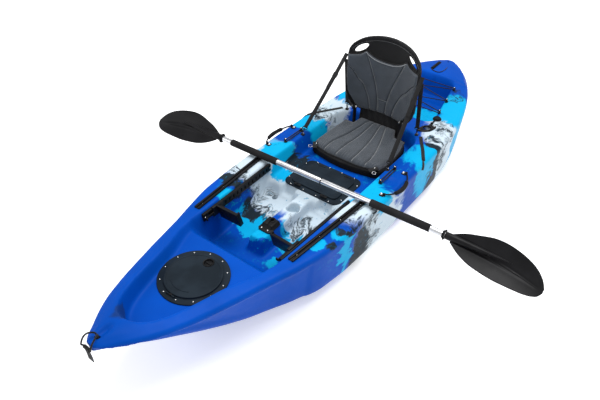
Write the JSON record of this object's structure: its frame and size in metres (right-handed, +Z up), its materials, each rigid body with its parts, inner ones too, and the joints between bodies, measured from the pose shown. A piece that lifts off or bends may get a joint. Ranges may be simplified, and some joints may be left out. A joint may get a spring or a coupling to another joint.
{
  "type": "fishing kayak",
  "caption": "Sit-on-top fishing kayak with padded folding seat, hatches, foot braces, gear tracks, rod holders, deck cords and a paddle laid across it.",
  "frame": {"origin": "on the flat keel at mid length, on the centreline", "axes": "+Z up, +Y from bow to stern, +X to the paddler's left (port)"},
  "size_m": [2.2994, 3.0192, 0.844],
  "materials": {
    "black_plastic": "satin",
    "border_fabric": "woven",
    "seat_fabric": "woven",
    "rubber": "matte",
    "lid_plastic": "satin",
    "webbing": "woven",
    "steel": "polished",
    "white_foam": "matte",
    "anodised_aluminium": "satin",
    "hull_plastic": "satin",
    "foam": "matte",
    "aluminium": "satin",
    "cord": "braided"
  },
  "bodies": {
    "hull": {"accessory_base": "black_plastic", "back_bracket_port": "black_plastic", "back_bracket_starboard": "black_plastic", "bow_hatch_gasket": "rubber", "bow_hatch_rim": "black_plastic", "bow_loop": "webbing", "center_hatch_frame": "black_plastic", "center_hatch_gasket": "rubber", "foam_pillar": "white_foam", "fold_band": "border_fabric", "foot_rail_port": "black_plastic", "foot_rail_starboard": "black_plastic", "gear_track_port": "anodised_aluminium", "gear_track_starboard": "anodised_aluminium", "handle_bracket_front_port": "black_plastic", "handle_bracket_front_starboard": "black_plastic", "handle_bracket_rear_port": "black_plastic", "handle_bracket_rear_starboard": "black_plastic", "hull": "hull_plastic", "rod_holder_port": "black_plastic", "rod_holder_starboard": "black_plastic", "seat_pad": "seat_fabric", "seat_shell": "foam", "side_bungee_port": "cord", "side_bungee_starboard": "cord", "strap_tail_port": "webbing", "strap_tail_starboard": "webbing", "tank_bungee": "cord"},
    "bow_hatch_lid": {"bow_hatch_lid": "lid_plastic"},
    "bow_hatch_latch": {"bow_hatch_latch": "black_plastic"},
    "center_hatch_lid": {"center_hatch_lid": "lid_plastic"},
    "center_latch_port": {"center_latch_port": "black_plastic"},
    "center_latch_starboard": {"center_latch_starboard": "black_plastic"},
    "foot_pedal_port": {"foot_pedal_port": "black_plastic"},
    "foot_pedal_starboard": {"foot_pedal_starboard": "black_plastic"},
    "pedal_lock_port": {"pedal_lock_port": "black_plastic"},
    "pedal_lock_starboard": {"pedal_lock_starboard": "black_plastic"},
    "side_handle_port": {"side_handle_port": "rubber"},
    "side_handle_starboard": {"side_handle_starboard": "rubber"},
    "bow_tab": {"bow_tab": "webbing"},
    "stern_grip": {"stern_grip": "rubber"},
    "drain_plug": {"drain_plug": "rubber"},
    "rod_cap_port": {"rod_cap_port": "rubber"},
    "rod_cap_starboard": {"rod_cap_starboard": "rubber"},
    "backrest": {"back_board": "border_fabric", "back_pad": "seat_fabric", "front_strap_port": "webbing", "front_strap_starboard": "webbing", "rear_strap_port": "webbing", "rear_strap_starboard": "webbing"},
    "paddle_port": {"paddle_shaft_port": "aluminium", "paddle_grip_port": "foam", "drip_ring_port": "rubber", "paddle_blade_port": "black_plastic", "paddle_ferrule": "black_plastic"},
    "ferrule_button": {"ferrule_button": "steel"},
    "paddle_starboard": {"paddle_shaft_starboard": "aluminium", "paddle_grip_starboard": "foam", "drip_ring_starboard": "rubber", "paddle_blade_starboard": "black_plastic"}
  },
  "joints": [
    {"name": "bow_lid_hinge", "type": "hinge", "parent": "hull", "child": "bow_hatch_lid", "pos_m": [0, -1.116, 0.3109], "axis": [1, 0, 0], "range_deg": [0, 110]},
    {"name": "bow_latch_turn", "type": "hinge", "parent": "bow_hatch_lid", "child": "bow_hatch_latch", "pos_m": [0, -0.888, 0.3109], "axis": [0, 0, 1], "range_deg": [0, 90]},
    {"name": "center_lid_hinge", "type": "hinge", "parent": "hull", "child": "center_hatch_lid", "pos_m": [0, 0.088, 0.2449], "axis": [-1, 0, 0], "range_deg": [0, 95]},
    {"name": "center_latch_port_turn", "type": "hinge", "parent": "hull", "child": "center_latch_port", "pos_m": [0.086, -0.134, 0.249], "axis": [0, 0, 1], "range_deg": [0, 90]},
    {"name": "center_latch_starboard_turn", "type": "hinge", "parent": "hull", "child": "center_latch_starboard", "pos_m": [-0.086, -0.134, 0.249], "axis": [0, 0, -1], "range_deg": [0, 90]},
    {"name": "foot_pedal_port_slide", "type": "slide", "parent": "hull", "child": "foot_pedal_port", "axis": [0.0286, 0.9996, 0], "range_m": [-0.04, 0.3]},
    {"name": "pedal_lock_port_squeeze", "type": "hinge", "parent": "foot_pedal_port", "child": "pedal_lock_port", "pos_m": [0.22826, -0.62649, 0.305], "axis": [0, 0, -1], "range_deg": [0, 12], "stiffness_Nm_per_rad": 0.3},
    {"name": "side_handle_port_swing", "type": "hinge", "parent": "hull", "child": "side_handle_port", "pos_m": [0.385, 0.083, 0.3453], "axis": [0, -1, 0], "range_deg": [0, 100]},
    {"name": "rod_cap_port_flip", "type": "hinge", "parent": "hull", "child": "rod_cap_port", "pos_m": [0.258, 0.731, 0.34145], "axis": [1, 0, 0], "range_deg": [0, 180]},
    {"name": "foot_pedal_starboard_slide", "type": "slide", "parent": "hull", "child": "foot_pedal_starboard", "axis": [-0.0286, 0.9996, 0], "range_m": [-0.04, 0.3]},
    {"name": "pedal_lock_starboard_squeeze", "type": "hinge", "parent": "foot_pedal_starboard", "child": "pedal_lock_starboard", "pos_m": [-0.22826, -0.62649, 0.305], "axis": [0, 0, 1], "range_deg": [0, 12], "stiffness_Nm_per_rad": 0.3},
    {"name": "side_handle_starboard_swing", "type": "hinge", "parent": "hull", "child": "side_handle_starboard", "pos_m": [-0.385, 0.083, 0.3453], "axis": [0, 1, 0], "range_deg": [0, 100]},
    {"name": "rod_cap_starboard_flip", "type": "hinge", "parent": "hull", "child": "rod_cap_starboard", "pos_m": [-0.258, 0.731, 0.34145], "axis": [1, 0, 0], "range_deg": [0, 180]},
    {"name": "bow_tab_swing", "type": "hinge", "parent": "hull", "child": "bow_tab", "pos_m": [0, -1.512, 0.37595], "axis": [-1, 0, 0], "range_deg": [0, 120]},
    {"name": "stern_grip_swing", "type": "hinge", "parent": "hull", "child": "stern_grip", "pos_m": [0, 1.438, 0.37556], "axis": [-1, 0, 0], "range_deg": [0, 150]},
    {"name": "drain_plug_turn", "type": "hinge", "parent": "hull", "child": "drain_plug", "pos_m": [0, 1.46, 0.36], "axis": [0, 0, 1], "range_deg": [0, 360]},
    {"name": "backrest_fold", "type": "hinge", "parent": "hull", "child": "backrest", "pos_m": [0, 0.522, 0.405], "axis": [1, 0, 0], "range_deg": [-8, 80], "deforming": ["front_strap_port", "front_strap_starboard", "rear_strap_port", "rear_strap_starboard", "fold_band"]},
    {"name": "paddle_lift", "type": "slide", "parent": "hull", "child": "paddle_port", "axis": [0, 0, 1], "range_m": [0, 0.3]},
    {"name": "ferrule_button_press", "type": "slide", "parent": "paddle_port", "child": "ferrule_button", "axis": [-0.0068, -0.0002, -1], "range_m": [0, 0.0019], "stiffness_N_per_m": 400},
    {"name": "paddle_feather", "type": "hinge", "parent": "paddle_port", "child": "paddle_starboard", "pos_m": [0.085, -0.15, 0.36027], "axis": [0.9994, 0.035, -0.0068], "range_deg": [-60, 60]}
  ]
}
